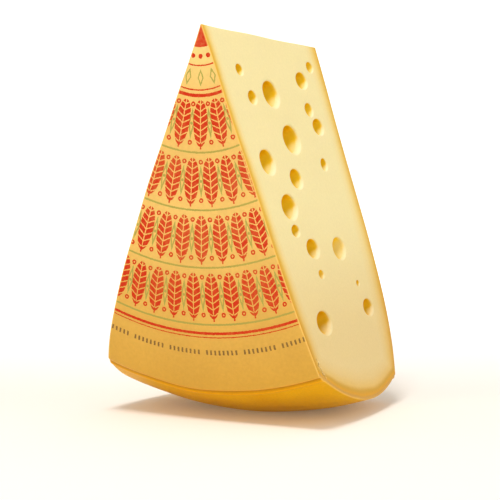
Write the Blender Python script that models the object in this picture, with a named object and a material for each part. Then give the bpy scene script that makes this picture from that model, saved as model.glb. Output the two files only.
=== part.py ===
"""Wedge cut from a large wheel of hard cheese, standing on the rind of its heel.

Metres, +Z up. The wheel's axis runs along Y and its printed face looks to -Y. The heel
below is the wheel's bulging rim. The two knife cuts meet in the tip edge on top, where
the wheel's middle was. The origin is straight below it, on the small flat spot under the
heel.
"""
import math
import random

import bmesh
import bpy
import numpy as np
from mathutils import Matrix, Vector

for item in list(bpy.data.objects):
    bpy.data.objects.remove(item, do_unlink=True)

MM = 0.001

# Wheel, 800 mm across and 264 mm thick in the middle; towards the right cut the heel
# bulges most behind the middle
HEEL_RADIUS = 400 * MM
FRONT_RIM_RADIUS = 365 * MM
BACK_RIM_RADIUS = 385 * MM
HEEL_LEAN = 0.37
HALF_THICKNESS = 132 * MM

# Both faces stay straight for long and fall back near the rim, more on one side
RIM_FALL = 21.5 * MM
RIM_SKEW = 13.5 * MM
DOME_POWER = 6

# Knife cuts, as angles from straight down; the wire ran in a little behind
RIGHT_ANGLE_FRONT = math.radians(20.3)
RIGHT_ANGLE_BACK = math.radians(17.4)
LEFT_ANGLE_FRONT = math.radians(20.9)
LEFT_ANGLE_BACK = math.radians(18.5)
TIP_WIDTH = 2 * MM
TIP_FALL = 9 * MM

# Flat spot pressed into the heel by the wedge's own weight
FLAT_DEPTH = 3 * MM
AXIS_HEIGHT = HEEL_RADIUS - FLAT_DEPTH

# Rows of the block's grid: from side to side, from tip to heel, from front to back
CUTS_ACROSS = 13
CUTS_DOWN = 19
CUTS_THROUGH = 11

# Eyes of the right cut in mm: below the tip edge, behind the wheel's middle plane,
# width and height of the mouth and depth of the bowl
RIGHT_EYES = (
    (26, 100, 17, 13, 5),
    (44, -79, 16, 13, 6),
    (44, 68, 28, 20, 9),
    (66, -21, 37, 30, 14),
    (73, -69, 20, 15, 7),
    (78, 65, 20, 16, 6),
    (97, 76, 28, 19, 9),
    (115, -5, 40, 31, 15),
    (140, 61, 17, 14, 7),
    (143, -82, 34, 27, 13),
    (159, -24, 30, 22, 10),
    (190, -63, 37, 26, 14),
    (215, -66, 21, 13, 7),
    (234, -36, 31, 21, 11),
    (234, 34, 36, 25, 9),
    (262, -36, 14, 10, 4),
    (273, 58, 9, 7, 3),
    (300, 68, 31, 19, 10),
    (312, -68, 37, 24, 14),
)

# Eyes of the left cut are strewn evenly by a seeded rule
LEFT_EYE_COUNT = 17
LEFT_EYE_SEED = 4
LEFT_EYE_WIDTHS = (9, 29)
LEFT_EYE_GAP = 12 * MM
LEFT_EYE_HEIGHT_SHARE = 0.8

PASTE_HEX = "F3DEA6"


def carry(across, down, through):
    """Places of the wheel's sector: across -1 left to 1 right, down 0 tip to 1 heel,
    through -1 printed face to 1 back face; the result has one row for each point."""
    share = (through + 1) / 2
    right = RIGHT_ANGLE_FRONT + (RIGHT_ANGLE_BACK - RIGHT_ANGLE_FRONT) * share
    left = LEFT_ANGLE_FRONT + (LEFT_ANGLE_BACK - LEFT_ANGLE_FRONT) * share
    angle = -left + (right + left) * (across + 1) / 2
    rim = FRONT_RIM_RADIUS + (BACK_RIM_RADIUS - FRONT_RIM_RADIUS) * share
    lean = HEEL_LEAN * (1 + across) / 2
    bulge = (1 - through ** 2) * (1 + lean * through)
    radius = rim + (HEEL_RADIUS - rim) * bulge
    tip = AXIS_HEIGHT - TIP_FALL * share
    dome = down ** DOME_POWER
    front = HALF_THICKNESS - (RIM_FALL - RIM_SKEW * across) * dome
    back = HALF_THICKNESS - (RIM_FALL + RIM_SKEW * across) * dome
    x = down * radius * np.sin(angle) + TIP_WIDTH / 2 * across * (1 - down)
    y = back * share - front * (1 - share)
    z = tip + down * (AXIS_HEIGHT - radius * np.cos(angle) - tip)
    return np.stack([x, y, np.maximum(z, 0)], axis=-1)


def new_collection(name):
    """An empty collection of this name under the scene's own."""
    old = bpy.data.collections.get(name)
    if old:
        bpy.data.collections.remove(old)
    made = bpy.data.collections.new(name)
    bpy.context.scene.collection.children.link(made)
    return made


def new_object(name, shape, collection):
    """An object with the bmesh's shape, which is freed."""
    mesh = bpy.data.meshes.new(name)
    shape.to_mesh(mesh)
    shape.free()
    made = bpy.data.objects.new(name, mesh)
    collection.objects.link(made)
    return made


def plain_material(name, hex_colour, roughness):
    """A Principled material with the colour of an sRGB hex code."""
    made = bpy.data.materials.new(name)
    made.use_nodes = True
    channels = [int(hex_colour[i:i + 2], 16) / 255 for i in (0, 2, 4)]
    linear = [c / 12.92 if c <= 0.04045 else ((c + 0.055) / 1.055) ** 2.4 for c in channels]
    shader = made.node_tree.nodes["Principled BSDF"]
    shader.inputs["Base Color"].default_value = (*linear, 1)
    shader.inputs["Roughness"].default_value = roughness
    shader.inputs["Metallic"].default_value = 0
    made.diffuse_color = (*linear, 1)
    return made


def cut_rows(shape, axis, cuts):
    """Cuts the block into rows across every edge that runs along the axis."""
    edges = [e for e in shape.edges if abs((e.verts[0].co - e.verts[1].co)[axis]) > 1]
    bmesh.ops.subdivide_edges(shape, edges=edges, cuts=cuts, use_grid_fill=True)


def wedge_block():
    """A cube in even rows, carried into the sector; the rows lie closer near the heel."""
    shape = bmesh.new()
    bmesh.ops.create_cube(shape, size=2)
    for axis, cuts in enumerate((CUTS_ACROSS, CUTS_THROUGH, CUTS_DOWN)):
        cut_rows(shape, axis, cuts)
    block = np.array([v.co for v in shape.verts])
    row = (1 - block[:, 2]) / 2
    places = carry(block[:, 0], row * (1.5 - 0.5 * row), block[:, 1])
    for vert, place in zip(shape.verts, places):
        vert.co = place
    return shape


def shares_on_cut(side, below, behind):
    """Shares down and through of the point on a cut that lies this far below the tip edge
    and behind the wheel's middle plane."""
    down = below / HEEL_RADIUS
    through = behind / HALF_THICKNESS
    for _ in range(5):
        tip, here = carry(np.full(2, float(side)), np.array([0, down]), np.full(2, through))
        down *= below / math.hypot(here[0] - tip[0], here[2] - tip[2])
        through += (behind - here[1]) / HALF_THICKNESS
    return down, through


def eye_frame(side, down, through):
    """Point on a cut and its directions: down the cut, through the wheel, out of it."""
    step = 0.001
    here, below, behind = carry(
        np.full(3, float(side)),
        np.array([down, down + step, down]),
        np.array([through, through, through + step]),
    )
    along = Vector(below - here).normalized()
    out = along.cross(Vector(behind - here)).normalized() * -side
    return Vector(here), along, out.cross(along) * -side, out


def add_eye(shape, side, down, through, width, height, depth):
    """A ball that leaves a bowl with this mouth and depth when it is cut away."""
    half = width * MM / 2
    deep = depth * MM
    radius = (half ** 2 + deep ** 2) / (2 * deep)
    here, along, wide, out = eye_frame(side, down, through)
    centre = here + out * (radius - deep)
    place = Matrix.Identity(4)
    for column, direction in enumerate((along * (height / width), wide, out)):
        place.col[column].xyz = direction * radius
    place.translation = centre
    turns = 14 if width > 18 else 10
    made = bmesh.ops.create_uvsphere(shape, u_segments=turns, v_segments=turns // 2 + 1, radius=1)
    bmesh.ops.transform(shape, matrix=place, verts=made["verts"])
    if place.determinant() < 0:
        bmesh.ops.reverse_faces(shape, faces=list({f for v in made["verts"] for f in v.link_faces}))


def left_eyes():
    """Eyes strewn over the left cut, clear of the edges and of each other."""
    rng = random.Random(LEFT_EYE_SEED)
    eyes = []
    for _ in range(4000):
        if len(eyes) == LEFT_EYE_COUNT:
            break
        down = rng.uniform(0.14, 0.9)
        through = rng.uniform(-0.8, 0.8)
        width = rng.randint(*LEFT_EYE_WIDTHS)
        place = carry(np.array(-1.0), np.array(down), np.array(through))
        gaps = [np.linalg.norm(place - other) - (width + reach) / 2 * MM for other, reach, *_ in eyes]
        if min(gaps, default=1) > LEFT_EYE_GAP:
            eyes.append((place, width, down, through))
    return [
        (down, through, width, LEFT_EYE_HEIGHT_SHARE * width, round(0.38 * width))
        for _, width, down, through in eyes
    ]


parts = new_collection("cheese_wedge")
cutters = new_collection("cutters")

wedge = new_object("cheese_wedge", wedge_block(), parts)
wedge.data.materials.append(plain_material("paste", PASTE_HEX, 0.5))

balls = bmesh.new()
for below, behind, *sizes in RIGHT_EYES:
    add_eye(balls, 1, *shares_on_cut(1, below * MM, behind * MM), *sizes)
for eye in left_eyes():
    add_eye(balls, -1, *eye)
eye_cutter = new_object("eye_cutter", balls, cutters)
eye_cutter.hide_render = True
eye_cutter.display_type = "WIRE"

eyes_cut = wedge.modifiers.new("eyes", "BOOLEAN")
eyes_cut.operation = "DIFFERENCE"
eyes_cut.solver = "EXACT"
eyes_cut.object = eye_cutter

for item in (wedge, eye_cutter):
    item.data.shade_smooth()
    item.data.set_sharp_from_angle(angle=math.radians(35))
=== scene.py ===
# %% [markdown]
# # A wedge of hard cheese with eyes
#
# The real thing is a slice of a wheel about 80 cm across: two knife cuts, the wheel's two
# flat faces, and at the bottom a piece of its bulging rim, the heel. The solid of that
# wedge is already there as a frame. This file puts the visual finish on it: rounded edges,
# eyes with soft lips, paste that darkens towards the rind, and a printed face.

# %% The frame
import math
import random
from functools import partial
import bpy
import numpy as np
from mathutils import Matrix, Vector
from mathutils.geometry import delaunay_2d_cdt


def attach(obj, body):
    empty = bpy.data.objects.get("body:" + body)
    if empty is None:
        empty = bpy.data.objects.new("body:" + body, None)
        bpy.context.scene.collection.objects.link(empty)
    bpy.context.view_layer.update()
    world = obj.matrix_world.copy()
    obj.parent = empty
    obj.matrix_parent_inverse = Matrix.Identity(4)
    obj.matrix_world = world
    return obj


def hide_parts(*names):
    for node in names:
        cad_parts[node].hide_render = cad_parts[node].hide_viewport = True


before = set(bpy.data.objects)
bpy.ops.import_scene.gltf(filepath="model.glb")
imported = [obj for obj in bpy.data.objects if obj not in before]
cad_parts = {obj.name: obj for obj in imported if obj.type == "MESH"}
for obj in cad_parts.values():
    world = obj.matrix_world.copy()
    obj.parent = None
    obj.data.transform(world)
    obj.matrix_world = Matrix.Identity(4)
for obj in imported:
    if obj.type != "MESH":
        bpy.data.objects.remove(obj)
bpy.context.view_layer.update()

# %% [markdown]
# ## Sizes
#
# All lengths are in millimetres until the last step, because that is how a cheesemaker
# would measure them. The wheel's axis runs along Y, and the tip edge of the wedge lies on
# it. The wheel has sagged a little: its rim is larger behind, and towards the right cut
# the heel bulges most behind the middle.
#
# The last three sizes are rough ones. They turn shares of the wedge into distances from
# the heel, from a ridge of the rim and from a cut.

# %% Sizes of the wheel and of the cut
HEEL_RADIUS = 400.0
FRONT_RIM, BACK_RIM = 365.0, 385.0
HEEL_LEAN = 0.37
HALF_THICKNESS = 132.0
RIM_FALL, RIM_SKEW, DOME_POWER = 21.5, 13.5, 6
RIGHT_FRONT, RIGHT_BACK = math.radians(20.3), math.radians(17.4)
LEFT_FRONT, LEFT_BACK = math.radians(20.9), math.radians(18.5)
TIP_WIDTH, TIP_FALL = 2.0, 9.0
FLAT_DEPTH = 3.0
AXIS_HEIGHT = HEEL_RADIUS - FLAT_DEPTH
TIP_TO_HEEL, MIDDLE_TO_RIDGE, MIDDLE_TO_CUT = 385.0, 108.0, 136.0
print("the wheel's axis is at a height in mm of", AXIS_HEIGHT)

# %% [markdown]
# ## One formula for the whole wedge
#
# A wedge is a block with six sides, bent into a sector. So each point gets three numbers:
# across (from the left cut, -1, to the right one, 1), down (from the tip, 0, to the heel,
# 1) and through (from the printed face, -1, to the back, 1). One function turns them into
# a place. Turning a profile would be the usual way to a wheel, but here the two cuts twist
# slightly and the rim isn't even, which a formula of three numbers takes in its stride.
#
# Where the heel meets each face, the mould leaves a soft rib and a shallow groove. Both
# fade out quickly away from the heel.

# %% The sector
RIB = (1.0, 7.0, 2.6)
GROOVE = (0.9, 3.0, 1.5)
MARK_POWER = 40


def mould_mark(through):
    """Height in mm of the rib less the depth of the groove. Both are bell curves, given by
    their height, their distance from the ridge and their width."""
    gap = (1 - np.abs(through)) * MIDDLE_TO_RIDGE
    rib, groove = [height * np.exp(-((gap - middle) / width) ** 2)
                   for height, middle, width in (RIB, GROOVE)]
    return rib - groove


def sector(across, down, through):
    """Places in mm: an angle from across, a radius from down, a depth from through. The
    radius at the heel is the rim's plus a parabola; the faces fall back as down to the 6th."""
    share = (through + 1) / 2
    right = RIGHT_FRONT + (RIGHT_BACK - RIGHT_FRONT) * share
    left = LEFT_FRONT + (LEFT_BACK - LEFT_FRONT) * share
    angle = -left + (right + left) * (across + 1) / 2
    rim = FRONT_RIM + (BACK_RIM - FRONT_RIM) * share
    lean = HEEL_LEAN * (1 + across) / 2
    radius = rim + (HEEL_RADIUS - rim) * (1 - through ** 2) * (1 + lean * through)
    radius = radius + mould_mark(through) * down ** MARK_POWER
    tip = AXIS_HEIGHT - TIP_FALL * share
    dome = down ** DOME_POWER
    front = HALF_THICKNESS - (RIM_FALL - RIM_SKEW * across) * dome
    back = HALF_THICKNESS - (RIM_FALL + RIM_SKEW * across) * dome
    x = down * radius * np.sin(angle) + TIP_WIDTH / 2 * across * (1 - down)
    y = back * share - front * (1 - share)
    z = tip + down * (AXIS_HEIGHT - radius * np.cos(angle) - tip)
    return np.stack([x, y, z], axis=-1)


front_right = sector(np.array(1.0), np.array(1.0), np.array(-1.0))
print("front right corner in mm:", np.round(front_right, 1))

# %% [markdown]
# ## Soft edges
#
# A cut edge of cheese is never razor sharp: it rounds off within a millimetre or two and
# catches a line of light. A Bevel modifier could do it, but the sides are cut up very
# unevenly near the eyes, so the block is rounded before it is bent: each point within the
# rounding is pulled to a fixed distance from an inner core, as on a rounded box.

# %% Rounding of the block
EDGE = 1.6
LENGTH, DEPTH = 390.0, 125.0


def half_width(down):
    """Half of the wedge's width in mm at this share of the way down: it grows evenly from
    half of the tip's width."""
    return TIP_WIDTH / 2 + down * MIDDLE_TO_CUT


def edge_radius(wide):
    """Radius of the edges in mm: 1.6, or 0.8 times half of the width where that is less."""
    return np.minimum(EDGE, 0.8 * wide)


def soft_block(across, down, through):
    """The block's point moved onto the rounded block: core plus edge radius times the
    unit vector from the core to the point, where the point is further out than that."""
    wide = half_width(down)
    edge = edge_radius(wide)
    point = np.stack([across * wide, down * LENGTH, through * DEPTH], axis=-1)
    low = np.stack([edge - wide, edge, edge - DEPTH], axis=-1)
    high = np.stack([wide - edge, LENGTH - edge, DEPTH - edge], axis=-1)
    core = np.clip(point, low, high)
    out = point - core
    reach = np.linalg.norm(out, axis=-1)
    pull = np.where(reach > edge, edge / np.maximum(reach, 1e-9), 1)
    point = core + out * pull[..., None]
    return point[..., 0] / wide, point[..., 1] / LENGTH, point[..., 2] / DEPTH


print("half width at the heel in mm:", half_width(1.0))

# %% Rows of the grids: three narrow ones in each rounding, the rest even or closing up
STEPS = np.array([0, 0.3, 0.62]) * EDGE


def rows(count, length, low, high, bend):
    """Shares from low to high: the rounding's steps at both ends, and between them a blend
    of an even row and a sine, which closes up towards both ends as bend goes to 1."""
    even = np.linspace(-1, 1, count)
    inner = bend * np.sin(even * np.pi / 2) + (1 - bend) * even
    margin = EDGE / length * (high - low)
    middle = low + margin + (inner + 1) / 2 * (high - low - 2 * margin)
    ends = STEPS / length * (high - low)
    return np.concatenate([low + ends, middle, (high - ends)[::-1]])


down_rows = rows(count=118, length=LENGTH, low=0, high=1, bend=0.25)
through_rows = rows(count=76, length=2 * DEPTH, low=-1, high=1, bend=0.75)
print(len(down_rows), "rows down,", len(through_rows), "rows through")

# %% [markdown]
# ## Eyes
#
# Eyes are gas bubbles, so where the knife opens one it leaves part of a ball, a little
# lower than wide because the wheel sagged as it ripened. The knife's edge rounds over into
# a soft lip. The bowls lean a little towards the tip and the printed face. The right cut
# has its eyes where the picture shows them; those of the hidden left cut are strewn by a
# seeded rule with a like range of sizes. A Boolean could cut them, but its ragged outlines
# don't take a soft lip, so each bowl is a profile carried round the eye's middle.
#
# Each point of a bowl also gets a number for how golden it is. Deep in, that is partly the
# moist curd's own colour and partly a painted glow of light bounced round the bowl. Painted
# shade makes it most on the upper wall towards the printed face, least on the lower wall.
# The lower lip gets a painted highlight, and its number is below zero.

# %% Eyes in mm: below the tip edge, behind the middle plane, width, height, depth
RIGHT_EYES = np.array([
    (26, 100, 17, 13, 5), (44, -79, 16, 13, 6), (44, 68, 28, 20, 9), (66, -21, 37, 30, 14),
    (73, -69, 20, 15, 7), (78, 65, 20, 16, 6), (97, 76, 28, 19, 9), (115, -5, 40, 31, 15),
    (140, 61, 17, 14, 7), (143, -82, 34, 27, 13), (159, -24, 30, 22, 10),
    (190, -63, 37, 26, 14), (215, -66, 21, 13, 7), (234, -36, 31, 21, 11),
    (234, 34, 36, 25, 9), (262, -36, 14, 10, 4), (273, 58, 9, 7, 3), (300, 68, 31, 19, 10),
    (312, -68, 37, 24, 14),
], dtype=float)
LEFT_EYE_COUNT, LEFT_EYE_SEED, LEFT_EYE_TRIES = 17, 4, 4000
LEFT_EYE_WIDTHS, LEFT_EYE_GAP = (9, 29), 12.0
LEFT_EYE_DOWN, LEFT_EYE_THROUGH = (0.14, 0.9), (-0.8, 0.8)
LEFT_EYE_HEIGHT_SHARE, LEFT_EYE_DEPTH_SHARE = 0.8, 0.38


def shares_on_cut(side, below, behind):
    """Shares down and through of points on a cut, given in mm: the shares are scaled and
    shifted five times by how far the sector's point misses."""
    down, through = below / HEEL_RADIUS, behind / HALF_THICKNESS
    across = np.full(np.shape(down), float(side))
    for _ in range(5):
        tip, here = sector(across, 0 * down, through), sector(across, down, through)
        far = np.hypot(*(here - tip)[..., [0, 2]].T).T
        down = down * below / np.maximum(far, 1e-6)
        through = through + (behind - here[..., 1]) / HALF_THICKNESS
    return down, through


def strewn_eyes():
    """Eyes of the left cut in mm: random places and widths, kept if clear of all others."""
    rng = random.Random(LEFT_EYE_SEED)
    eyes = []
    for _ in range(LEFT_EYE_TRIES):
        down, through = rng.uniform(*LEFT_EYE_DOWN), rng.uniform(*LEFT_EYE_THROUGH)
        width = rng.randint(*LEFT_EYE_WIDTHS)
        tip, here = sector(np.full(2, -1.0), np.array([0, down]), np.full(2, through))
        spot = (math.hypot(here[0] - tip[0], here[2] - tip[2]), here[1])
        gaps = [math.dist(spot, eye[:2]) - (width + eye[2]) / 2 for eye in eyes]
        if min(gaps, default=99) > LEFT_EYE_GAP:
            sizes = (width, LEFT_EYE_HEIGHT_SHARE * width, round(LEFT_EYE_DEPTH_SHARE * width))
            eyes.append((*spot, *sizes))
        if len(eyes) == LEFT_EYE_COUNT:
            break
    return np.array(eyes)


LEFT_EYES = strewn_eyes()
print(len(RIGHT_EYES), "eyes right,", len(LEFT_EYES), "eyes left")

# %% The profile of a bowl
LIP_SHARE = 0.085
TURNS, LIP_RINGS, BALL_RINGS = 40, 5, 9


def bowl_profile(width, depth):
    """Radius and depth of each ring in mm, from the cut inwards: a quarter-like arc that
    touches the cut and the ball, then the ball's own arc down to near its lowest point."""
    half, lip = width / 2, LIP_SHARE * width
    ball = (half ** 2 + depth ** 2) / (2 * depth)
    lip_middle = np.sqrt((ball + lip) ** 2 - (ball - depth + lip) ** 2)
    last = np.arctan2(ball - depth + lip, -lip_middle)
    turn = np.linspace(np.pi / 2, last, LIP_RINGS)
    lip_arc = np.stack([lip_middle + lip * np.cos(turn), lip - lip * np.sin(turn)])
    open_angle = np.arcsin(lip_middle / (ball + lip))
    swing = open_angle * np.linspace(1, 0.06, BALL_RINGS)[1:]
    ball_arc = np.stack([ball * np.sin(swing), depth - ball + ball * np.cos(swing)])
    return np.concatenate([lip_arc, ball_arc], axis=1)


print("28 mm eye, radius and depth of rings:", np.round(bowl_profile(28, 10).T[::3], 1).tolist())

# %% How golden a bowl is, with painted shade and highlight; the turn is 0 towards the heel and a quarter towards the back
LOWER_TURN, FRONT_TURN = 0.8, -1.9


def smooth(value, low, high):
    """Soft step from 0 at low to 1 at high: 3 s squared less 2 s cubed."""
    step = np.clip((value - low) / (high - low), 0, 1)
    return step * step * (3 - 2 * step)


def gold_and_shade_shares(radius, depth, turn, eyes):
    """Amber tone with painted shade and highlight: half, plus a soft step of up to a half
    towards the front wall as painted shade, less one of up to 0.4 on the lower wall, all
    times less in shallow eyes and times a soft step from 0 on the cut. The lower lip loses a
    step of up to 0.7 for a painted highlight, so it goes below 0."""
    half, deepest = eyes[:, 2, None, None] / 2, eyes[:, 4, None, None]
    lower = radius / half * np.cos(turn - LOWER_TURN)
    front = radius / half * np.cos(turn - FRONT_TURN)
    steep = np.clip(5 * deepest / eyes[:, 2, None, None] - 0.6, 0.6, 1)
    inside = smooth(depth / deepest, 0, 0.2)
    wall = 0.5 + 0.5 * smooth(front, -0.7, 0.8) - 0.4 * smooth(lower, 0.55, 1.05)
    gold_and_shade = steep * inside * wall
    return np.where(depth / deepest < 0.15, gold_and_shade - 0.7 * smooth(lower, 0.5, 1), gold_and_shade)


# %% The bowls of all eyes of a cut
LEAN_UP, LEAN_FRONT, SKEW = 0.3, 0.15, 0.2


def bowls(side, eyes):
    """Rings of all eyes of a cut: block numbers (eye, ring, turn, 3), depth in mm, each
    eye's direction out of the cheese, and each point's amber tone with painted shade and
    highlight. A ring is an ellipse of the profile's radius that wobbles by 2%, and it leans
    by a share of its depth."""
    profile = np.array([bowl_profile(width, depth) for width, depth in eyes[:, [2, 4]]])
    radius, depth = profile[:, 0, :, None], profile[:, 1, :, None]
    turn = np.arange(TURNS) * 2 * np.pi / TURNS + np.arange(len(eyes))[:, None, None]
    wobble = 1 + 0.02 * np.sin(2 * turn + 1.7) + 0.015 * np.sin(3 * turn)
    flatness = (eyes[:, 3] / eyes[:, 2])[:, None, None]
    up_and_down = radius * wobble * flatness * np.cos(turn)
    below = eyes[:, 0, None, None] - LEAN_UP * depth + up_and_down
    behind = eyes[:, 1, None, None] - LEAN_FRONT * depth
    behind = behind + radius * wobble * np.sin(turn) - SKEW * up_and_down
    down, through = shares_on_cut(side, below, behind)
    block = np.stack([np.full(down.shape, float(side)), down, through], axis=-1)
    middle_down, middle_through = shares_on_cut(side, eyes[:, 0], eyes[:, 1])
    edge = np.full(len(eyes), float(side))
    here = sector(edge, middle_down, middle_through)
    along = sector(edge, middle_down + 0.01, middle_through) - here
    aside = sector(edge, middle_down, middle_through + 0.01) - here
    out = np.cross(along, aside) * side
    out /= np.linalg.norm(out, axis=-1, keepdims=True)
    return block, depth + 0 * down, out, gold_and_shade_shares(radius, depth, turn, eyes)


print("right bowls, counts of eyes, rings and turns:", bowls(1, RIGHT_EYES)[1].shape)

# %% [markdown]
# ## Sheets, cut plates and the weld
#
# Four sides are plain grids: both faces, the heel and the narrow tip strip. A cut with
# eyes can't be a plain grid, so it is a plate of scattered points joined by Delaunay
# triangles, which are then dropped inside each eye's outline, and the bowl's rings fill
# the opening. All parts keep their block numbers, and points with equal numbers are one
# point, so the whole wedge closes without a seam.

# %% Collected parts of the surface
points, offsets, tints, faces, kinds = [], [], [], [], []
PASTE, PRINTED, HEEL = 0, 1, 2
total = 0


def collect(block, offset, corners, kind, tint=0.0):
    """Keeps points (their block numbers, an offset in mm and their amber tone with painted
    shade and highlight) and the corners of faces."""
    global total
    points.append(block.reshape(-1, 3))
    offsets.append(offset.reshape(-1, 3))
    tints.append(np.broadcast_to(tint, block.shape[:-1]).reshape(-1))
    faces.append(corners.reshape(-1, corners.shape[-1]) + total)
    kinds.append(np.full(len(faces[-1]), kind))
    total += len(points[-1])


def grid_corners(high, wide, closed=False):
    """Corner numbers of the quads of a grid, wrapped round if it is closed."""
    index = np.arange(high * wide).reshape(high, wide)
    if closed:
        index = np.concatenate([index, index[:, :1]], axis=1)
    return np.stack([index[:-1, :-1], index[1:, :-1], index[1:, 1:], index[:-1, 1:]], axis=-1)


# %% Both faces, the heel and the tip strip
COLUMNS = 72
core_columns = np.concatenate([np.full(3, -1.0), np.linspace(-1, 1, COLUMNS), np.full(3, 1.0)])
rim_steps = np.concatenate([STEPS / EDGE - 1, np.zeros(COLUMNS), (1 - STEPS / EDGE)[::-1]])


def across_columns(down):
    """Shares across for each row: the core's columns times the width without its rounding,
    plus the outer steps in mm, all divided by the width."""
    wide = half_width(down)[..., None]
    edge = edge_radius(wide)
    return (core_columns * (wide - edge) + rim_steps * edge) / wide


sides = {
    "printed face": (down_rows, np.full(len(down_rows), -1.0), PRINTED, False),
    "back face": (down_rows, np.full(len(down_rows), 1.0), PRINTED, True),
    "heel": (np.full(len(through_rows), 1.0), through_rows, HEEL, False),
    "tip": (np.full(len(through_rows), 0.0), through_rows, PASTE, True),
}
for name, (down, through, kind, turned) in sides.items():
    across = across_columns(down)
    block = np.stack([across, down[:, None] + 0 * across, through[:, None] + 0 * across], axis=-1)
    corners = grid_corners(*across.shape)
    collect(block, 0 * block, corners[..., ::-1] if turned else corners, kind)
    print(name, across.shape)

# %% [markdown]
# The quads run down first and then across. Seen from outside that is anticlockwise on the
# printed face and the heel, as Blender wants it, and clockwise on the sides opposite, whose
# corners are therefore taken backwards. A test at the end counts edges that are open or
# that two faces run along the same way.

# %% Scattered points of a cut
SPACING = 3.1
ROW_STEP = 0.866 * SPACING
BORDER_CLEAR, EYE_CLEAR = EDGE + 0.5 * SPACING, 0.45 * SPACING
CUT_SCALE = np.array([LENGTH, DEPTH])


def scattered_points(outlines):
    """Shares down and through of a slanted grid of points, clear of the cut's border and
    of its eyes: every other row is shifted by half of the spacing, and a point stays if it
    is farther from an eye's middle than the eye's longest radius."""
    count_down, count_through = int(LENGTH / ROW_STEP), int(2 * DEPTH / SPACING)
    down = np.arange(1, count_down) / count_down
    through = 2 * np.arange(1, count_through) / count_through - 1
    down, through = np.meshgrid(down, through, indexing="ij")
    through = through + SPACING / 2 / DEPTH * (np.arange(1, count_down) % 2)[:, None]
    spots = np.stack([down, through], -1).reshape(-1, 2)
    from_ends = np.minimum(spots[:, 0], 1 - spots[:, 0]) * LENGTH
    from_faces = (1 - abs(spots[:, 1])) * DEPTH
    spots = spots[(from_ends > BORDER_CLEAR) & (from_faces > BORDER_CLEAR)]
    middles = outlines.mean(1)
    far = np.linalg.norm((spots[:, None] - middles) * CUT_SCALE, axis=-1)
    reach = np.linalg.norm((outlines - middles[:, None]) * CUT_SCALE, axis=-1)
    return spots[(far > reach.max(1) + EYE_CLEAR).all(1)]


# %% The two cuts
FAN_DROP = 0.02


def collect_bowl(side, ring, deep, way, gold_shade_share):
    """Collects an eye's bowl: quads between its rings, and a fan of triangles at the
    bottom, whose middle lies a little deeper."""
    quads = grid_corners(*ring.shape[:2], closed=True)
    collect(ring, -deep[..., None] * way, quads if side < 0 else quads[..., ::-1], PASTE, gold_shade_share)
    last = ring[-1]
    middle = np.concatenate([last, last.mean(0, keepdims=True)])
    low = -(deep[-1].mean() + FAN_DROP) * way
    sunk = np.concatenate([-deep[-1][:, None] * way, low[None]])
    spokes = np.arange(TURNS)
    fan = np.stack([spokes, np.roll(spokes, -1), np.full(TURNS, TURNS)], axis=-1)
    collect(middle, sunk, fan if side > 0 else fan[:, ::-1], PASTE, gold_shade_share[-1].mean())


def collect_cut(side, eyes):
    """Collects a cut: border rows, scattered points and the outlines of the eyes, joined by
    Delaunay triangles, and the bowls. Returns the counts of points and triangles."""
    rings, depth, out, gold_shade_share = bowls(side, eyes)
    outlines = rings[:, 0, :, 1:]
    outline = outlines.reshape(-1, 2)
    ends = [0, 1, 2, 3, -4, -3, -2, -1]
    strips = ((down_rows, through_rows[ends]), (down_rows[ends], through_rows[4:-4]))
    border = [np.stack(np.meshgrid(*strip, indexing="ij"), -1).reshape(-1, 2) for strip in strips]
    flat = np.concatenate([outline, *border, scattered_points(outlines)])
    loops = np.arange(len(outline)).reshape(-1, TURNS)
    edges = np.stack([loops, np.roll(loops, -1, axis=1)], axis=-1).reshape(-1, 2)
    made = delaunay_2d_cdt((flat * CUT_SCALE).tolist(), edges.tolist(), [], 0, 1e-5)
    assert len(made[0]) == len(flat), "the plate's points met"
    triangles = np.array(made[2])
    owner = np.full(len(flat), -1)
    owner[:len(outline)] = np.repeat(np.arange(len(eyes)), TURNS)
    first, second, third = owner[triangles].T
    triangles = triangles[(first < 0) | (first != second) | (second != third)]
    block = np.concatenate([np.full((len(flat), 1), float(side)), flat], axis=1)
    collect(block, 0 * block, triangles if side > 0 else triangles[:, ::-1], PASTE)
    for bowl in zip(rings, depth, out, gold_shade_share):
        collect_bowl(side, *bowl)
    return len(flat), len(triangles)


print("right cut, points and triangles:", collect_cut(1, RIGHT_EYES))
print("left cut, points and triangles:", collect_cut(-1, LEFT_EYES))

# %% Weld into one closed mesh
block, offset = np.concatenate(points), np.concatenate(offsets)
key = np.round(np.concatenate([block, offset], axis=1), 7)
_, first, number = np.unique(key, axis=0, return_index=True, return_inverse=True)
number = number.reshape(-1)
block, offset = block[first], offset[first]
across, down, through = block.T
print("points:", len(number), "before the weld,", len(first), "after")

# %% [markdown]
# ## Small unevenness
#
# The paste gives a little, so no face is truly flat: the wheel lay on cloth and board, and
# the wire drifted. A Displace modifier could do it, but it pushes along the normals, which
# turn fast at a sharp edge. So a sum of a few slanted waves, in seeded directions, moves
# every point by about half a millimetre, and the cuts also get the wire's finer ripples.

# %% Waves in mm
SAG, RIPPLE, DRIFT = 0.45, 0.12, 0.2


def waves(place, length, count, seed, stretch=(1, 1, 1)):
    """Sum of count sine waves of about this length in mm, in seeded directions, scaled to
    about -1 to 1; a stretch above 1 makes the waves longer along that axis."""
    rng = np.random.default_rng(seed)
    way = rng.normal(size=(count, 3))
    way /= np.linalg.norm(way, axis=1, keepdims=True)
    way *= 2 * np.pi / (length * rng.uniform(0.7, 1.5, (count, 1))) / np.array(stretch)
    return np.sin(place @ way.T + rng.uniform(0, 2 * np.pi, count)).sum(-1) / math.sqrt(count)


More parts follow.
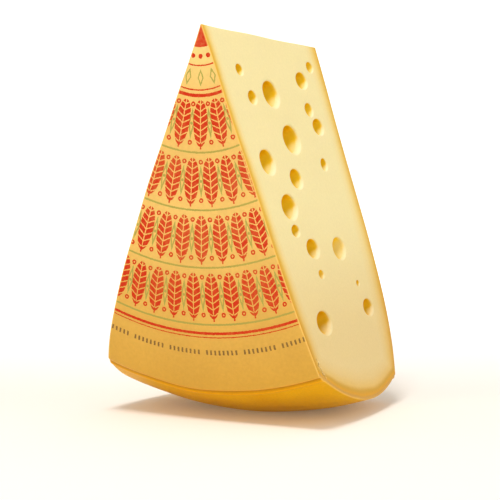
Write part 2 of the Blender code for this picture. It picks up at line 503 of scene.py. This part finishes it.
place = sector(*soft_block(across, down, through)) + offset
sag = [SAG * waves(place, length=90, count=9, seed=seed) for seed in (1, 2, 3)]
place = place + np.stack(sag, axis=-1)
ripple = RIPPLE * waves(place, length=16, count=7, seed=4, stretch=(1, 5, 1))
fine = ripple + DRIFT * waves(place, length=55, count=6, seed=5)
print("largest sag in mm:", round(float(np.abs(sag).max()), 2))

# %% [markdown]
# Each point also learns how far it is from the rind, the heel, a ridge of the rim and a
# cut, in mm, because the finishes depend on it. Behind the printed face the paste has dried
# less deep than in front of the back one, so there its distance from the rind counts for
# more. The fine ripples fade out within a few millimetres of the rind.

# %% Distances for the finishes, and the end of the millimetres
FRONT_WEIGHT, BACK_WEIGHT, RIPPLE_FADE = 1.25, 0.72, 8
thick = 2 * HALF_THICKNESS - 2 * RIM_FALL * down ** DOME_POWER
share = (through + 1) / 2
heel_gap = (1 - down) * TIP_TO_HEEL
face_gap = np.minimum(share * FRONT_WEIGHT, (1 - share) * BACK_WEIGHT) * thick
rind_gap = np.minimum(face_gap, heel_gap)
gaps = {
    "rind_gap": rind_gap,
    # the eyes' golden tone, with painted shade on the upper walls and a painted highlight on the
    # lower lips
    "eye_gold_and_shade": np.concatenate(tints)[first],
    "heel_gap": heel_gap,
    "ridge_gap": (1 - np.abs(through)) * MIDDLE_TO_RIDGE,
    "side_gap": (1 - np.abs(across)) * half_width(down),
}
on_cut = (np.abs(across) > 0.9999) * np.clip(rind_gap / RIPPLE_FADE, 0, 1)
place[:, 0] += np.sign(across) * on_cut * fine
place[:, 2] = np.maximum(place[:, 2], 0)
place *= 0.001
for name, values in gaps.items():
    print(name, "goes from", round(float(values.min()), 2), "to", round(float(values.max()), 2))

# %% The mesh
faces = [number[part] for part in faces]
polygons = [polygon for part in faces for polygon in part.tolist()]
mesh = bpy.data.meshes.new("cheese_wedge_soft")
mesh.from_pydata(place.tolist(), [], polygons)
mesh.polygons.foreach_set("material_index", np.concatenate(kinds).astype(np.int32))
mesh.polygons.foreach_set("use_smooth", np.ones(len(polygons), dtype=bool))
for name, values in gaps.items():
    layer = mesh.attributes.new(name, "FLOAT", "POINT")
    layer.data.foreach_set("value", values.astype(np.float32))
mesh.update()
wedge = bpy.data.objects.new("cheese_wedge_soft", mesh)
bpy.context.scene.collection.objects.link(wedge)
print("mesh:", len(mesh.vertices), "points,", len(mesh.polygons), "faces")

# %% Test of the mesh: each edge has two faces, which run along it in opposite ways
runs = [np.stack([part, np.roll(part, -1, axis=1)], -1).reshape(-1, 2) for part in faces]
runs = np.concatenate(runs)
users = np.unique(np.sort(runs, axis=1), axis=0, return_counts=True)[1]
print("faces:", len(polygons), "triangles:", sum(len(p) - 2 for p in polygons))
print("open edges:", int((users != 2).sum()),
      "edges run one way twice:", len(runs) - len(np.unique(runs, axis=0)))

# %% [markdown]
# ## Materials
#
# Three finishes: the cut paste, the printed rind of the wheel's flat faces, and the bare
# rind of the heel. Colours are given as on a paint chart, in sRGB hex, and one function
# turns them to the linear values that light is reckoned in. One small function adds a
# node with its settings and links.
#
# Each noise has the size of one lump in mm, and 1000 divided by it is the number of lumps
# in a metre, which is what the Scale socket asks for. In a picture of the whole wedge one
# dot is about 1 mm, so the finest grain is drawn a few mm across.

# %% Colour and node helpers
def colour(code):
    """Linear red, green, blue and an alpha of 1 from an sRGB hex code: each channel is
    divided by 12.92 below 0.04045, and else ((c + 0.055) / 1.055) to the power of 2.4."""
    chart = np.array([int(code[i:i + 2], 16) / 255 for i in (0, 2, 4)])
    linear = np.where(chart <= 0.04045, chart / 12.92, ((chart + 0.055) / 1.055) ** 2.4)
    return (*linear.tolist(), 1.0)


def connect(tree, node, sockets):
    """Fills sockets from a dict of their names or numbers. A value is a number, a colour,
    an output to link, or a node, which stands for its first output."""
    for name, value in sockets.items():
        if isinstance(value, bpy.types.Node):
            value = value.outputs[0]
        if isinstance(value, bpy.types.NodeSocket):
            tree.links.new(value, node.inputs[name])
        else:
            node.inputs[name].default_value = value


def add(tree, kind, *values, **settings):
    """Adds a node, whose operation may follow its kind after a point. Settings are its
    properties; values go to its sockets in order, or by name or number from a dict. A Mix
    node's colours are sockets 6 and 7, and its mixed colour is output 2."""
    kind, _, operation = kind.partition(".")
    made = tree.nodes.new("ShaderNode" + kind)
    if operation:
        made.operation = operation
    for name, value in settings.items():
        setattr(made, name, value)
    named = values[0] if values and isinstance(values[0], dict) else dict(enumerate(values))
    connect(tree, made, named)
    return made


def fill_ramp(ramp, stops):
    """Puts colour stops (position, hex) into a colour ramp."""
    elements = ramp.color_ramp.elements
    while len(elements) < len(stops):
        elements.new(0.5)
    for element, (position, code) in zip(elements, stops):
        element.position = position
        element.color = colour(code)
    return ramp


def new_material(name):
    """A material with an empty Principled shader, and its tree."""
    made = bpy.data.materials.new(name)
    made.use_nodes = True
    return made, made.node_tree, made.node_tree.nodes["Principled BSDF"]


print("fresh curd in linear light:", [round(channel, 3) for channel in colour("FAE9AD")])

# %% [markdown]
# ### Cut paste
#
# Ripened curd, pressed and cut with a wire: pale cream and slightly waxy, so light goes a
# few millimetres in and comes out warmer. Towards the rind it has dried, which makes it
# darker and more golden, most of all in a thin band along the heel. Inside the eyes the
# moist curd is golden too, and painted shade and a painted glow of bounced light deepen it
# on the upper walls, while the lower lips get a painted highlight. That could be painted
# on by hand, but three attributes of the mesh steer it here and so follow its true shape:
# the distance to the rind, the distance to the heel, and how golden a bowl is. Lower down,
# painted shade also darkens the whole cut a little, by height. A cloudy noise, 45 mm a
# lump, shifts both distances by up to about 2 mm either way. The grain that a wire leaves
# is about half a millimetre, which is too fine to show, so it is drawn 2.4 mm across.

# %% Paste: dried towards the rind, in mm, and painted shade that darkens it lower down
CLOUD_SIZE, CURD_SIZE, CLOUD_SHIFT = 45.45, 2.381, 5.0
DRIED_LOW, DRIED_HIGH = 44.0, 30.0
paste, tree, shader = new_material("pressed_curd_wire_cut")
put = partial(add, tree)
spot = put("TexCoord").outputs["Object"]
from_rind, from_heel, gold_shade_share = [
    put("Attribute", attribute_name=name).outputs["Fac"]
    for name in ("rind_gap", "heel_gap", "eye_gold_and_shade")]
from_middle, _, height = put("SeparateXYZ", spot).outputs
cloud = put("TexNoise", {"Vector": spot, "Scale": 1000 / CLOUD_SIZE, "Detail": 3.0})
cloud = put("Math.SUBTRACT", cloud, 0.5)
from_rind = put("Math.MULTIPLY_ADD", cloud, CLOUD_SHIFT, from_rind)
from_heel = put("Math.MULTIPLY_ADD", cloud, CLOUD_SHIFT, from_heel)
dried_reach = put("MapRange", {
    "Value": height, "From Min": 0.04, "From Max": 0.3, "To Min": DRIED_LOW, "To Max": DRIED_HIGH})
near_rind = put("Math.DIVIDE", from_rind, dried_reach)
drying = fill_ramp(put("ValToRGB", near_rind), [
    (0.0, "E0AC46"), (0.08, "E9B648"), (0.18, "F1C75E"), (0.3, "F7D782"), (0.48, "F9E29E"),
    (0.75, "FAE9AD")])
# Painted shade: the paste darkens below a height of 0.22 m, most below 0.07 m
low_shade_share = put("MapRange", {"Value": height, "From Min": 0.07, "From Max": 0.22},
           interpolation_type="SMOOTHSTEP")
low_shade_tone = put("Mix", {"Factor": low_shade_share, 6: (0.875, 0.785, 0.7, 1), 7: (1, 1, 1, 1)}, data_type="RGBA")
print("drying reaches in by mm:", DRIED_LOW, "near the heel,", DRIED_HIGH, "higher up")

# %% Paste: painted highlight on the eyes' lower lips, golden bowls with painted shade, and the band along the heel
HEEL_BAND = 10.0
# Golden tone of the bowls, darkest where painted shade lies; below zero is the lower lip's painted
# highlight
gold_and_shade = fill_ramp(put("ValToRGB", gold_shade_share), [
    (0.1, "FBDC84"), (0.34, "F9D250"), (0.5, "F5C420"), (0.66, "EBAC00"), (1.0, "C28E00")])
lip_highlight = put("Math.MULTIPLY", gold_shade_share, -1.0, use_clamp=True)
in_bowl = put("Math.MULTIPLY", gold_shade_share, 2.2, use_clamp=True)
lips = put("Mix", {"Factor": lip_highlight, 6: drying, 7: colour("FFF8CC")}, data_type="RGBA")
bowl_shaded = put("Mix", {"Factor": in_bowl, 6: lips.outputs[2], 7: gold_and_shade}, data_type="RGBA")
low_shaded = put("VectorMath.MULTIPLY", bowl_shaded.outputs[2], low_shade_tone.outputs[2])
band = fill_ramp(put("ValToRGB", put("Math.DIVIDE", from_heel, HEEL_BAND)), [
    (0.0, "E2B058"), (0.25, "D5A04C"), (0.5, "E3A52C"), (0.9, "D4A23C")])
at_heel = put("MapRange", {
    "Value": from_heel, "From Min": 7.5, "From Max": 13.5, "To Min": 1.0, "To Max": 0.0},
    interpolation_type="SMOOTHSTEP")
banded = put("Mix", {"Factor": at_heel, 6: low_shaded, 7: band}, data_type="RGBA").outputs[2]
print("paste so far:", len(tree.nodes), "nodes")

# %% [markdown]
# One short crack with a few crumbs runs slanting up from near the heel of the right cut, by
# the printed face. It could be cut into the mesh, but it is less than 2 mm wide, so it is
# drawn as a dark line of painted shade, by two lengths in metres: along the crack and
# across it, both shaken by a noise of 3 mm a lump. The crumbs are a second line beside the
# first.

# %% Paste: the crack as painted shade, and its crumbs
CRACK_HEIGHT, CRACK_FRONT = 0.0603, 0.1144
CRACK_JAG, JAG_SIZE = 0.016, 3.333
CRACK_ALONG, CRACK_ACROSS = (0, 0.5, -0.866), (0, 0.866, 0.5)
CRACK_HALF_LENGTH, CRACK_HALF_WIDTH = 0.0085, 0.0008
CRUMBS_ASIDE, CRUMBS_HALF_WIDTH = 0.0022, 0.0009
jagged = put("TexNoise", {"Vector": spot, "Scale": 1000 / JAG_SIZE, "Detail": 2.0})
shake = put("VectorMath.MULTIPLY_ADD", jagged.outputs["Color"], (0, CRACK_JAG, CRACK_JAG),
            (0, CRACK_FRONT - CRACK_JAG / 2, -CRACK_HEIGHT - CRACK_JAG / 2))
from_crack = put("VectorMath.ADD", spot, shake)
along, across_it = [
    put("VectorMath.DOT_PRODUCT", from_crack, way).outputs["Value"]
    for way in (CRACK_ALONG, CRACK_ACROSS)]
on_right_cut = put("Math.GREATER_THAN", from_middle, 0.0)
beside = put("Math.MULTIPLY", put("Math.COMPARE", along, 0.0, CRACK_HALF_LENGTH), on_right_cut)
crack, crumbs = [
    put("Math.MULTIPLY", beside, put("Math.COMPARE", across_it, middle, half))
    for middle, half in ((0.0, CRACK_HALF_WIDTH), (CRUMBS_ASIDE, CRUMBS_HALF_WIDTH))]
# The crack's dark colour is painted shade in the gap
crack_shaded = put("Mix", {"Factor": crack, 6: banded, 7: colour("B98A3C")}, data_type="RGBA")
crack_shaded = put("Mix", {"Factor": crumbs, 6: crack_shaded.outputs[2], 7: colour("F3D99C")}, data_type="RGBA")
print("crack:", 2000 * CRACK_HALF_LENGTH, "mm long,", 2000 * CRACK_HALF_WIDTH, "mm wide")

# %% Paste: the grain of the curd, and the shader
curd = put("TexNoise", {"Vector": spot, "Scale": 1000 / CURD_SIZE, "Detail": 3.0})
mottle = put("MapRange", {
    "Value": curd, "From Min": 0.3, "From Max": 0.7, "To Min": 0.975, "To Max": 1.02})
toned = put("VectorMath.MULTIPLY", crack_shaded.outputs[2], mottle)
grain = put("Math.MULTIPLY_ADD", put("Math.SUBTRACT", crumbs, crack), 0.6, curd)
relief = put("Bump", {"Strength": 0.25, "Distance": 0.0006, "Height": grain})
connect(tree, shader, {
    "Base Color": toned, "Normal": relief, "Roughness": 0.46, "IOR": 1.45,
    "Specular IOR Level": 0.04, "Subsurface Weight": 0.08,
    "Subsurface Radius": (1.0, 0.6, 0.2), "Subsurface Scale": 0.003})
print(paste.name, "has", len(tree.nodes), "nodes")

# %% [markdown]
# ### Printed rind
#
# The flat faces of the wheel are pressed smooth and stamped with food ink. The pattern
# here is a plain ornament in rings round the wheel's middle: bands of ears of grain with
# lozenges between them. It is drawn by arithmetic on the distance from the axis and the
# angle about it, so it needs no picture and stays sharp at any size. Within a band, a
# point gets two lengths in mm: how far it is along the band's radius, and how far from the
# middle of its column. Each motif is then a simple shape in those two lengths.
#
# Ink creeps by about half a millimetre at its edges. That is shaken by a noise of 1.4 mm a
# lump, the finest that still shows.

# %% Printed rind: radius in mm and turn from -0.5 to 0.5, both slightly shaken, as ink spreads
INK_SPREAD, INK_SIZE = 1.4, 1.4286
printed, tree, shader = new_material("pressed_rind_stamped")
put = partial(add, tree)
spot = put("TexCoord").outputs["Object"]
ragged = put("TexNoise", {"Vector": spot, "Scale": 1000 / INK_SIZE, "Detail": 2.0})
shake = put("VectorMath.MULTIPLY_ADD", ragged.outputs["Color"], (INK_SPREAD, 0, INK_SPREAD),
            (-INK_SPREAD / 2, 0, -INK_SPREAD / 2 - AXIS_HEIGHT))
from_axis = put("VectorMath.MULTIPLY_ADD", spot, (1000, 0, 1000), shake)
radius = put("VectorMath.LENGTH", from_axis).outputs["Value"]
sideways, _, upwards = put("SeparateXYZ", from_axis).outputs
angle = put("Math.ARCTAN2", sideways, put("Math.MULTIPLY", upwards, -1.0))
turn = put("Math.DIVIDE", angle, 2 * math.pi)
print("the print's middle is at a height in mm of", AXIS_HEIGHT)

# %% Printed rind: bands, columns and the two lengths; outer bands have more columns
BAND_START, BAND, BANDS = 74.0, 57.0, 4
FIRST_COLUMNS, MORE_COLUMNS = 30.0, 16.0
step = put("Math.DIVIDE", put("Math.SUBTRACT", radius, BAND_START), BAND)
band = put("Math.FLOOR", step)
along = put("Math.MULTIPLY", put("Math.FRACT", step), BAND)
count = put("Math.MULTIPLY_ADD", band, MORE_COLUMNS, FIRST_COLUMNS)
column = put("Math.MULTIPLY_ADD", turn, count, put("Math.MULTIPLY_ADD", band, 0.5, 0.5))
pitch = put("Math.DIVIDE", put("Math.MULTIPLY", radius, 2 * math.pi), count)
off_middle = put("Math.ABSOLUTE", put("Math.SUBTRACT", put("Math.FRACT", column), 0.5))
aside = put("Math.MULTIPLY", off_middle, pitch)
between = put("Math.SUBTRACT", put("Math.MULTIPLY", pitch, 0.5), aside)
in_bands = put("Math.COMPARE", radius, BAND_START + BAND * BANDS / 2, BAND * BANDS / 2)
print("bands start at radii in mm of", [BAND_START + BAND * number for number in range(BANDS)])


# %% Printed rind: two shapes that the motifs share
def far_from(first, second):
    """Distance in mm: the root of the sum of the squares of two lengths."""
    return put("VectorMath.LENGTH", put("CombineXYZ", first, second)).outputs["Value"]


def lozenge(first, half_first, second, half_second):
    """Two lengths, each divided by half of a lozenge's width that way, and added: 0 in the
    lozenge's middle and 1 on its outline."""
    return put("Math.ADD", put("Math.DIVIDE", first, half_first),
               put("Math.DIVIDE", second, half_second))


# %% Printed rind: ears of grain with stems, and small rings between them, red
EAR_MIDDLE, EAR_HALF_WIDTH, EAR_HALF_LENGTH = 24.0, 8.2, 23.0
GRAIN, GRAIN_SLANT, GRAIN_SHARE, VEIN = 6.4, 0.6, 0.81, 0.5
STEM_MIDDLE, STEM_HALF_LENGTH, STEM_HALF_WIDTH = 46.5, 3.0, 0.8
RING_OFF, RING_RADIUS, RING_HALF_WIDTH = 19.0, 1.7, 0.8
oval = put("VectorMath.MULTIPLY_ADD", put("CombineXYZ", aside, along),
           (1 / EAR_HALF_WIDTH, 1 / EAR_HALF_LENGTH, 0), (0, -EAR_MIDDLE / EAR_HALF_LENGTH, 0))
in_oval = put("Math.LESS_THAN", put("VectorMath.LENGTH", oval).outputs["Value"], 1.0)
slanted = put("Math.DIVIDE", put("Math.MULTIPLY_ADD", aside, GRAIN_SLANT, along), GRAIN)
grains = put("Math.LESS_THAN", put("Math.FRACT", slanted), GRAIN_SHARE)
off_vein = put("Math.GREATER_THAN", aside, VEIN)
ear = put("Math.MULTIPLY", put("Math.MULTIPLY", in_oval, grains), off_vein)
stem = put("Math.MULTIPLY", put("Math.COMPARE", along, STEM_MIDDLE, STEM_HALF_LENGTH),
           put("Math.LESS_THAN", aside, STEM_HALF_WIDTH))
off_half = put("Math.ABSOLUTE", put("Math.SUBTRACT", along, EAR_MIDDLE))
from_ring = far_from(between, put("Math.SUBTRACT", off_half, RING_OFF))
ring = put("Math.COMPARE", from_ring, RING_RADIUS, RING_HALF_WIDTH)
red_parts = [put("Math.MULTIPLY", part, in_bands) for part in (ear, stem, ring)]
print("ears:", 2 * EAR_HALF_LENGTH, "mm long, one grain every", GRAIN, "mm")

# %% Printed rind: outlined lozenges, dots in them and thin lines, olive
LOZENGE_HALF_WIDTH, LOZENGE_HALF_LENGTH, DOT_RADIUS = 3.4, 16.0, 1.5
LINE_MIDDLE, LINE_HALF_WIDTH = 52.6, 0.9
lozenge_share = lozenge(between, LOZENGE_HALF_WIDTH, off_half, LOZENGE_HALF_LENGTH)
in_lozenge = put("Math.COMPARE", lozenge_share, 0.78, 0.22)
dot = put("Math.LESS_THAN", far_from(between, off_half), DOT_RADIUS)
band_line = put("Math.COMPARE", along, LINE_MIDDLE, LINE_HALF_WIDTH)
olive_parts = [put("Math.MULTIPLY", part, in_bands) for part in (in_lozenge, dot, band_line)]
print("lozenges:", 2 * LOZENGE_HALF_LENGTH, "mm long")

# %% Printed rind: beads, leaves, rings and a disc round the middle, and the outer border
PETALS, BEAD_MIDDLE, BEAD_RADIUS, DISC_RADIUS = 24, 32.0, 2.4, 23.0
LEAF_MIDDLE, LEAF_HALF_WIDTH, LEAF_HALF_LENGTH = 53.0, 3.4, 8.5
RED_LINES = ((41, 0.7), (65, 0.7), (70.5, 1.7), (306.5, 1.4), (310.6, 0.5))
petal = put("Math.FRACT", put("Math.MULTIPLY_ADD", turn, PETALS, 0.5))
petal_width = put("Math.MULTIPLY", radius, 2 * math.pi / PETALS)
off_petal = put("Math.ABSOLUTE", put("Math.SUBTRACT", petal, 0.5))
petal_side = put("Math.MULTIPLY", off_petal, petal_width)
off_leaf = put("Math.ABSOLUTE", put("Math.SUBTRACT", radius, LEAF_MIDDLE))
leaf_share = lozenge(petal_side, LEAF_HALF_WIDTH, off_leaf, LEAF_HALF_LENGTH)
olive_parts.append(put("Math.COMPARE", leaf_share, 0.8, 0.2))
from_bead = far_from(petal_side, put("Math.SUBTRACT", radius, BEAD_MIDDLE))
red_parts.append(put("Math.LESS_THAN", from_bead, BEAD_RADIUS))
red_parts.append(put("Math.LESS_THAN", radius, DISC_RADIUS))
red_parts += [put("Math.COMPARE", radius, middle, half) for middle, half in RED_LINES]
print("motifs:", len(red_parts), "red,", len(olive_parts), "olive")

# %% Printed rind: a ring of short brown strokes in groups near the rim
STROKES, GROUP, STROKE_MIDDLE, STROKE_HALF_LENGTH = 420.0, 9, 326.0, 2.4
stroke, group = [
    put("Math.LESS_THAN", put("Math.FRACT", put("Math.MULTIPLY", turn, times)), share)
    for times, share in ((STROKES, 0.42), (STROKES / GROUP, 0.86))]
in_ring = put("Math.COMPARE", radius, STROKE_MIDDLE, STROKE_HALF_LENGTH)
brown = put("Math.MULTIPLY", put("Math.MULTIPLY", stroke, group), in_ring)
print("one stroke every", round(2 * math.pi * STROKE_MIDDLE / STROKES, 1), "mm")

# %% [markdown]
# Now the inks go over the rind. They are worn in patches about 7 cm wide, and where the
# knife rounds the edge the rind turns pale, partly bare paste and partly a painted
# highlight along the rounding. The rind's own grain is under a millimetre, and it is drawn
# 3.3 mm across so that it shows.

# %% Printed rind: ink over rind
WEAR_SIZE, SPECK_SIZE = 71.43, 3.333
red, olive = red_parts[0], olive_parts[0]
for part in red_parts[1:]:
    red = put("Math.MAXIMUM", red, part)
for part in olive_parts[1:]:
    olive = put("Math.MAXIMUM", olive, part)
patches = put("TexNoise", {"Vector": spot, "Scale": 1000 / WEAR_SIZE, "Detail": 4.0})
specks = put("TexNoise", {"Vector": spot, "Scale": 1000 / SPECK_SIZE, "Detail": 3.0})
worn = put("MapRange", {
    "Value": put("Math.ADD", patches, specks), "From Min": 0.72, "From Max": 1.1,
    "To Min": 0.84, "To Max": 1.0})
ground = fill_ramp(put("ValToRGB", put("Math.DIVIDE", radius, TIP_TO_HEEL)), [
    (0.0, "EFD68A"), (0.2, "E7BA64"), (0.5, "EABE67"), (0.8, "D9A84A"), (1.0, "CE9C34")])
cloudy, speckled = [
    put("MapRange", {"Value": noise, "From Min": 0.3, "From Max": 0.7, "To Min": low, "To Max": high})
    for noise, low, high in ((patches, 0.94, 1.04), (specks, 0.96, 1.03))]
rind = put("VectorMath.MULTIPLY", put("VectorMath.MULTIPLY", ground, cloudy), speckled).outputs[0]
for ink, code in ((olive, "A89C46"), (brown, "7E5E2E"), (red, "CA2C00")):
    laid_on = put("Math.MULTIPLY", ink, worn)
    rind = put("Mix", {"Factor": laid_on, 6: rind, 7: colour(code)}, data_type="RGBA").outputs[2]
print("rind and inks:", len(tree.nodes), "nodes")

# %% Printed rind: the pale edge, bare paste with a painted highlight, and the shader
from_cut = put("Attribute", attribute_name="side_gap").outputs["Fac"]
# Pale edge along the cut: partly bare paste, partly a painted highlight on the rounding
edge_highlight = put("MapRange", {
    "Value": from_cut, "From Min": 0.5, "From Max": 2.2, "To Min": 1.0, "To Max": 0.0})
rind = put("Mix", {"Factor": edge_highlight, 6: rind, 7: colour("EFC366")}, data_type="RGBA").outputs[2]
relief = put("Bump", {"Strength": 0.3, "Distance": 0.0007, "Height": specks})
connect(tree, shader, {
    "Base Color": rind, "Normal": relief, "Roughness": 0.5, "IOR": 1.45,
    "Specular IOR Level": 0.18, "Subsurface Weight": 0.1,
    "Subsurface Radius": (1.0, 0.5, 0.15), "Subsurface Scale": 0.003})
print(printed.name, "has", len(tree.nodes), "nodes")

# %% [markdown]
# ### Rind of the heel
#
# The rim was washed and turned for months: a closed, slightly greasy skin, deep golden
# orange where it is thick. It has cloudy patches some 6 cm wide and fine pores. Within a
# centimetre of each ridge it is paler, and a plain colour ramp over the distance from the
# ridge adds stripes along it: a dark one over the mould's groove, which is painted shade,
# and a bright one over its rib, which is a painted highlight. Where the knife rounds the
# edge of the cut, the skin turns pale, partly bare paste and partly a painted highlight.
# The pores are under a millimetre wide, and they are drawn 2.6 mm across so that they show.

# %% Heel rind: skin, stripes along the ridge with painted shade and highlight, and the pale edge of the cut with a painted highlight
SKIN_SIZE, PORE_SIZE, STRIPES = 62.5, 2.632, 10.0
heel, tree, shader = new_material("washed_rind_bare")
put = partial(add, tree)
spot = put("TexCoord").outputs["Object"]
from_ridge, from_cut = [
    put("Attribute", attribute_name=name).outputs["Fac"] for name in ("ridge_gap", "side_gap")]
patches = put("TexNoise", {"Vector": spot, "Scale": 1000 / SKIN_SIZE, "Detail": 4.0})
skin = fill_ramp(put("ValToRGB", patches), [
    (0.3, "DA9B04"), (0.5, "E1A504"), (0.72, "E8AF06")])
at_ridge = put("MapRange", {"Value": from_ridge, "From Min": 0.0, "From Max": STRIPES})
# Stripes: painted shade over the groove, about 2.6 mm out, and a painted highlight over the rib,
# about 6.5 mm out
ridge = fill_ramp(put("ValToRGB", at_ridge), [
    (0.0, "E2AE4C"), (0.14, "E0A43C"), (0.26, "B67A0A"), (0.42, "C4880A"), (0.65, "EBA70A"),
    (1.0, "E09E02")])
off_ridge = put("MapRange", {"Value": from_ridge, "From Min": 7.0, "From Max": STRIPES})
skin = put("Mix", {"Factor": off_ridge, 6: ridge, 7: skin}, data_type="RGBA").outputs[2]
# Pale edge along the cut: partly bare paste, partly a painted highlight on the rounding
edge_highlight = put("MapRange", {
    "Value": from_cut, "From Min": 0.5, "From Max": 2.5, "To Min": 1.0, "To Max": 0.0})
skin = put("Mix", {"Factor": edge_highlight, 6: skin, 7: colour("EFC05C")}, data_type="RGBA").outputs[2]
print("stripes end", STRIPES, "mm from the ridge")

# %% Heel rind: pores, and the shader
pores = put("TexNoise", {"Vector": spot, "Scale": 1000 / PORE_SIZE, "Detail": 3.0})
flecks = put("MapRange", {
    "Value": pores, "From Min": 0.3, "From Max": 0.7, "To Min": 0.93, "To Max": 1.04})
relief = put("Bump", {"Strength": 0.3, "Distance": 0.0008, "Height": pores})
connect(tree, shader, {
    "Base Color": put("VectorMath.MULTIPLY", skin, flecks), "Normal": relief,
    "Roughness": 0.42, "IOR": 1.45, "Specular IOR Level": 0.07, "Subsurface Weight": 0.1,
    "Subsurface Radius": (1.0, 0.45, 0.1), "Subsurface Scale": 0.003})
print(heel.name, "has", len(tree.nodes), "nodes")

# %% The wedge takes its finishes and stands for the CAD solid
for material in (paste, printed, heel):
    mesh.materials.append(material)
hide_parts("cheese_wedge")
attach(wedge, "root")
print("finishes:", [material.name for material in mesh.materials])

# %% [markdown]
# ## Stage, light and camera
#
# The wedge stands on a pale floor that curves up far away, a photographer's cove, so there
# is no horizon. The cove is a profile turned about the vertical axis. A soft light high
# above and a little in front models the eyes. A low one in front and one on the right open
# the shadows, and a fourth lights the paper behind. The paper lies on a light table, so it
# glows faintly and lifts the shade under the heel.

# %% Cove
FLOOR_REACH, COVE_RADIUS, COVE_TURNS = 4.0, 2, 64
floor = np.array([0, 0.3, 1, 2, 3, FLOOR_REACH])
climb = np.linspace(0, np.pi / 2, 12)[1:]
outwards = np.concatenate([floor, FLOOR_REACH + COVE_RADIUS * np.sin(climb)])[1:, None]
upwards = np.concatenate([0 * floor, COVE_RADIUS - COVE_RADIUS * np.cos(climb)])[1:, None]
spin = np.linspace(0, 2 * np.pi, COVE_TURNS, endpoint=False)
cove_rings = np.stack([outwards * np.cos(spin), outwards * np.sin(spin), upwards + 0 * spin], -1)
cove_points = np.concatenate([cove_rings.reshape(-1, 3), [[0, 0, 0]]])
cove_faces = grid_corners(len(outwards), COVE_TURNS, closed=True).reshape(-1, 4).tolist()
middle = len(cove_points) - 1
cove_faces += [[turn, (turn + 1) % COVE_TURNS, middle] for turn in range(COVE_TURNS)]
cove_mesh = bpy.data.meshes.new("cove")
cove_mesh.from_pydata(cove_points.tolist(), [], cove_faces)
cove_mesh.polygons.foreach_set("use_smooth", np.ones(len(cove_faces), dtype=bool))
cove = bpy.data.objects.new("cove", cove_mesh)
bpy.context.scene.collection.objects.link(cove)
print("cove:", len(cove_points), "points")

# %% Paper of the cove
paper, tree, shader = new_material("matt_white_paper")
connect(tree, shader, {
    "Base Color": colour("F6F5F2"), "Roughness": 0.9, "Specular IOR Level": 0.2,
    "Emission Color": colour("FFEFD0"), "Emission Strength": 0.09})
cove_mesh.materials.append(paper)
print("paper:", paper.name)


# %% Lights: place and goal in m, size in m, power in W
def soft_light(name, place, goal, size, power, code):
    """A square area light at a place, turned so that its -Z points from there to a goal."""
    made = bpy.data.objects.new(name, bpy.data.lights.new(name, "AREA"))
    made.data.size = size
    made.data.energy = power
    made.data.color = colour(code)[:3]
    made.location = place
    made.rotation_euler = (Vector(goal) - Vector(place)).to_track_quat("-Z", "Y").to_euler()
    bpy.context.scene.collection.objects.link(made)


WEDGE_MIDDLE = (0, 0, 0.2)
SKY_STRENGTH = 0.485
soft_light("key", (0.1, -0.8, 2.4), WEDGE_MIDDLE, 0.8, 34, "FFF8EE")
soft_light("low_front", (-0.3, -2.4, 0.2), WEDGE_MIDDLE, 0.6, 14, "FFFFFF")
soft_light("right_fill", (2.4, 0.2, 1.3), WEDGE_MIDDLE, 1.4, 7, "FFFFFF")
soft_light("backdrop", (-0.3, 1.6, 2.8), (-2.2, 5.0, 0.8), 1.6, 160, "FFFFFF")
sky = bpy.data.worlds.new("studio")
sky.use_nodes = True
sky.node_tree.nodes["Background"].inputs["Color"].default_value = colour("FFFFFF")
sky.node_tree.nodes["Background"].inputs["Strength"].default_value = SKY_STRENGTH
bpy.context.scene.world = sky
bpy.context.scene.view_settings.view_transform = "Standard"

# %% Camera, fitted to the picture: its place, turn and angle of looking down
CAMERA_PLACE = (0.806, -1.592, 0.270)
TURN, LOOK_DOWN, LENS, SENSOR = math.radians(27.23), math.radians(3.29), 121.4, 36
camera = bpy.data.objects.new("camera", bpy.data.cameras.new("camera"))
camera.data.lens = LENS
camera.data.sensor_width = SENSOR
camera.data.clip_end = 50
camera.location = CAMERA_PLACE
camera.rotation_euler = (math.pi / 2 - LOOK_DOWN, 0, TURN)
bpy.context.scene.collection.objects.link(camera)
bpy.context.scene.camera = camera
bpy.context.view_layer.update()
print("camera in m:", CAMERA_PLACE, "lens in mm:", LENS)
